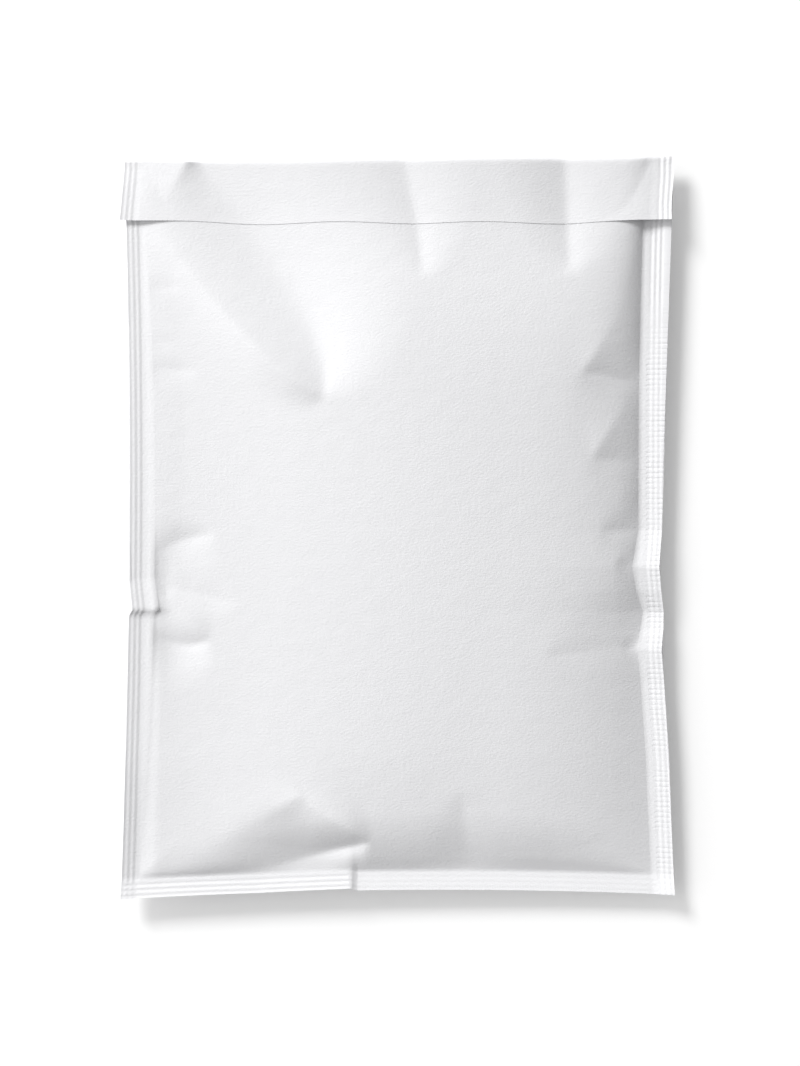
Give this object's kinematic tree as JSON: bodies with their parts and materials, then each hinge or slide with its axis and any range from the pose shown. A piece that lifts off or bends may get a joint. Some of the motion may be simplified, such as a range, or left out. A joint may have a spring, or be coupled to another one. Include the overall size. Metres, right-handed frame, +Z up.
{
  "type": "bubble mailer",
  "caption": "Sealed white paper padded mailer, filled like a pillow, with crimped side and bottom seals and a folded, glued top flap; lies flat on its back.",
  "frame": {"origin": "on the floor, under the middle of the pack's box", "axes": "+X to the right across the front, +Y towards the folded top edge, +Z up out of the front panel"},
  "size_m": [0.25, 0.335, 0.0233],
  "materials": {
    "paper": "satin-matte white"
  },
  "bodies": {
    "root": {"bubble_mailer": "paper"}
  },
  "joints": []
}
